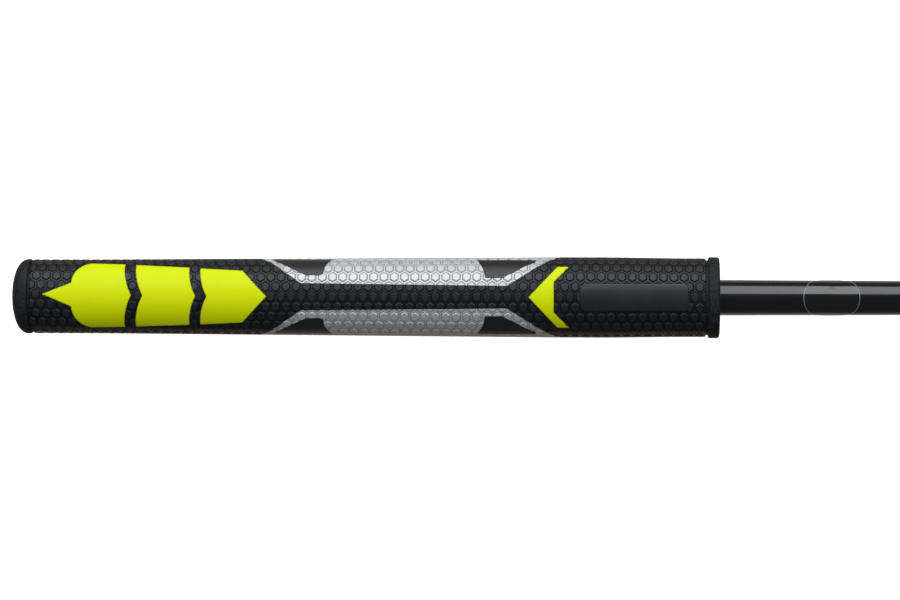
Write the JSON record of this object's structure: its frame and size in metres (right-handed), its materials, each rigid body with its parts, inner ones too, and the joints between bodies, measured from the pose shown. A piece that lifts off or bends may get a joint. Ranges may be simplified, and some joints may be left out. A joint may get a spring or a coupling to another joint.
{
  "type": "swing trainer stick",
  "caption": "Golf swing trainer stick: oversize oval grip with hex-embossed skin and coloured inlay panels on a tapered steel shaft with a weighted, rubber-capped tip.",
  "frame": {"origin": "mouth of the vent hole in the butt cap, on the stick's axis", "axes": "+X along the stick from the butt cap to the tip, +Z out of the grip's decorated front, +Y to its side"},
  "size_m": [0.907, 0.0304, 0.0256],
  "materials": {
    "rubber_cap": "matt moulded rubber with a fine grain",
    "rubber_ring": "matt moulded rubber with a fine grain",
    "grip_skin": "black polyurethane embossed with hexagonal studs",
    "felt": "grey nonwoven felt",
    "foam": "black closed-cell foam",
    "tape": "double-sided paper tape",
    "seam": "smooth black polyurethane",
    "lime_panel": "satin lime polyurethane",
    "label_pad": "smooth satin black, bare",
    "silver_band": "silver-painted polyurethane embossed with hexagonal studs",
    "window_black": "smooth satin black",
    "shaft_lacquer": "gloss black lacquer on steel",
    "decal_film": "clear gloss film, bare",
    "ferrule_plastic": "gloss black",
    "weight_steel": "black oxide on turned steel",
    "rubber_bumper": "matt moulded rubber"
  },
  "bodies": {
    "root": {"butt_cap": "rubber_cap", "mouth_ring": "rubber_ring", "grip_skin": "grip_skin", "felt_backing": "felt", "foam_core": "foam", "grip_tape": "tape", "seam_strip": "seam", "lime_nib_panel": "lime_panel", "lime_middle_panel": "lime_panel", "lime_arrow_panel": "lime_panel", "lime_chevron_panel": "lime_panel", "label_pad": "label_pad", "silver_band_upper": "silver_band", "silver_band_lower": "silver_band", "shaft": "shaft_lacquer", "shaft_decal": "decal_film", "ferrule": "ferrule_plastic", "tip_weight": "weight_steel", "tip_bumper": "rubber_bumper", "window_front_upper_butt": "window_black", "window_front_upper_mouth": "window_black", "window_front_lower_butt": "window_black", "window_front_lower_mouth": "window_black", "window_back_upper_butt": "window_black", "window_back_upper_mouth": "window_black", "window_back_lower_butt": "window_black", "window_back_lower_mouth": "window_black"}
  },
  "joints": []
}
